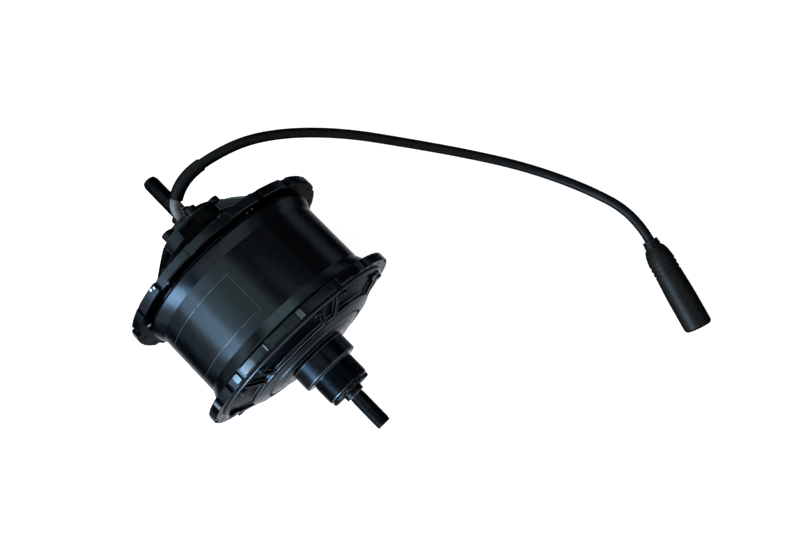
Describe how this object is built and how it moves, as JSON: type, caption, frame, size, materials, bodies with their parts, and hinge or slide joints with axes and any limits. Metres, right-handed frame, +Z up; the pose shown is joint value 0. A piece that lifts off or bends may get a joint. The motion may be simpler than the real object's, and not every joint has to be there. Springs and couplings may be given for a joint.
{
  "type": "geared e-bike hub motor",
  "caption": "Geared rear hub motor with two spoke flanges, freewheel thread, brake disc mount, flatted axle and a cable with a round plug.",
  "frame": {"origin": "middle of the axle's length, on the axle's centre line", "axes": "+Y along the axle towards the cable and brake disc side, -Y towards the freewheel thread, +Z up"},
  "size_m": [0.3352, 0.3727, 0.1668],
  "materials": {
    "axle_steel": "black oxide, satin",
    "shell_black": "black anodised, satin",
    "cover_black": "black painted casting, satin",
    "screw_black": "black oxide",
    "gasket_paper": "dark gasket paper, matte",
    "bare_aluminium": "machined",
    "lamination_steel": "stacked sheet, satin",
    "copper": "enamelled copper, gloss",
    "board_green": "solder mask, satin",
    "wire_insulation": "matte",
    "gear_steel": "ground, satin",
    "gear_nylon": "natural nylon, matte",
    "bearing_steel": "polished",
    "spring_steel": "phosphated, matte",
    "magnet_nickel": "nickel plated",
    "seal_rubber": "matte",
    "cable_rubber": "smooth, satin",
    "connector_black": "moulded, satin",
    "insert_black": "moulded, matte",
    "contact_brass": "plated"
  },
  "bodies": {
    "root": {"axle": "axle_steel", "axle_key": "axle_steel", "stator_spider": "bare_aluminium", "stator_core": "lamination_steel", "stator_coils": "copper", "hall_sensor_board": "board_green", "phase_wires": "wire_insulation", "planet_carrier": "gear_steel", "planet_pins": "gear_steel", "planet_pin_clips": "spring_steel", "clutch_inner_race": "gear_steel", "clutch_rollers": "gear_steel", "rotor_bearing_clip": "spring_steel", "disc_bearing_clip": "spring_steel", "rotor_bearing_spacer": "bearing_steel", "dust_disc": "axle_steel", "cable_core": "wire_insulation", "cable_elbow": "cable_rubber", "cable_sleeve": "cable_rubber", "motor_cable": "cable_rubber", "connector_collar": "cable_rubber", "connector_body": "connector_black", "connector_insert": "insert_black", "connector_contacts": "contact_brass", "outboard_bearing_inner": "bearing_steel", "drive_bearing_inner": "bearing_steel", "disc_bearing_inner": "bearing_steel", "rotor_bearing_1_inner": "bearing_steel", "rotor_bearing_2_inner": "bearing_steel"},
    "hub": {"hub_shell": "shell_black", "drive_side_cover": "cover_black", "disc_side_cover": "cover_black", "drive_cover_screws": "screw_black", "disc_cover_screws": "screw_black", "drive_cover_gasket": "gasket_paper", "disc_cover_gasket": "gasket_paper", "ring_gear": "gear_steel", "ring_gear_clip": "spring_steel", "disc_side_seal": "seal_rubber", "drive_side_seal": "seal_rubber", "outboard_bearing_outer": "bearing_steel", "drive_bearing_outer": "bearing_steel", "disc_bearing_outer": "bearing_steel"},
    "rotor": {"rotor_hub": "bare_aluminium", "rotor_ring": "gear_steel", "rotor_magnets": "magnet_nickel", "sun_gear": "gear_steel", "rotor_bearing_1_outer": "bearing_steel", "rotor_bearing_2_outer": "bearing_steel"},
    "planet_1": {"planet_gear_1": "gear_nylon", "planet_bush_1": "bearing_steel"},
    "planet_2": {"planet_gear_2": "gear_nylon", "planet_bush_2": "bearing_steel"},
    "planet_3": {"planet_gear_3": "gear_nylon", "planet_bush_3": "bearing_steel"},
    "outboard_bearing_balls": {"outboard_bearing_balls": "bearing_steel"},
    "drive_bearing_balls": {"drive_bearing_balls": "bearing_steel"},
    "disc_bearing_balls": {"disc_bearing_balls": "bearing_steel"},
    "rotor_bearing_1_balls": {"rotor_bearing_1_balls": "bearing_steel"},
    "rotor_bearing_2_balls": {"rotor_bearing_2_balls": "bearing_steel"}
  },
  "joints": [
    {"name": "hub_spin", "type": "hinge", "parent": "root", "child": "hub", "pos_m": [0, 0, 0], "axis": [0, 1, 0], "continuous": true},
    {"name": "rotor_spin", "type": "hinge", "parent": "root", "child": "rotor", "pos_m": [0, 0, 0], "axis": [0, 1, 0], "continuous": true},
    {"name": "planet_1_spin", "type": "hinge", "parent": "root", "child": "planet_1", "pos_m": [0, -0.0245, 0.03375], "axis": [0, 1, 0], "continuous": true},
    {"name": "planet_2_spin", "type": "hinge", "parent": "root", "child": "planet_2", "pos_m": [0.02923, -0.0245, -0.01688], "axis": [0, 1, 0], "continuous": true},
    {"name": "planet_3_spin", "type": "hinge", "parent": "root", "child": "planet_3", "pos_m": [-0.02923, -0.0245, -0.01688], "axis": [0, 1, 0], "continuous": true},
    {"name": "outboard_bearing_balls_spin", "type": "hinge", "parent": "root", "child": "outboard_bearing_balls", "pos_m": [0, -0.084, 0], "axis": [0, 1, 0], "continuous": true},
    {"name": "drive_bearing_balls_spin", "type": "hinge", "parent": "root", "child": "drive_bearing_balls", "pos_m": [0, -0.061, 0], "axis": [0, 1, 0], "continuous": true},
    {"name": "disc_bearing_balls_spin", "type": "hinge", "parent": "root", "child": "disc_bearing_balls", "pos_m": [0, 0.064, 0], "axis": [0, 1, 0], "continuous": true},
    {"name": "rotor_bearing_1_balls_spin", "type": "hinge", "parent": "root", "child": "rotor_bearing_1_balls", "pos_m": [0, -0.0075, 0], "axis": [0, 1, 0], "continuous": true},
    {"name": "rotor_bearing_2_balls_spin", "type": "hinge", "parent": "root", "child": "rotor_bearing_2_balls", "pos_m": [0, 0.0073, 0], "axis": [0, 1, 0], "continuous": true}
  ],
  "couplings": [
    {"joint": "rotor_spin", "follows": "hub_spin", "ratio": -5},
    {"joint": "planet_1_spin", "follows": "hub_spin", "ratio": 2.5},
    {"joint": "planet_2_spin", "follows": "hub_spin", "ratio": 2.5},
    {"joint": "planet_3_spin", "follows": "hub_spin", "ratio": 2.5},
    {"joint": "outboard_bearing_balls_spin", "follows": "hub_spin", "ratio": 0.5847},
    {"joint": "drive_bearing_balls_spin", "follows": "hub_spin", "ratio": 0.6013},
    {"joint": "disc_bearing_balls_spin", "follows": "hub_spin", "ratio": 0.5856},
    {"joint": "rotor_bearing_1_balls_spin", "follows": "hub_spin", "ratio": -2.8872},
    {"joint": "rotor_bearing_2_balls_spin", "follows": "hub_spin", "ratio": -2.8872}
  ]
}
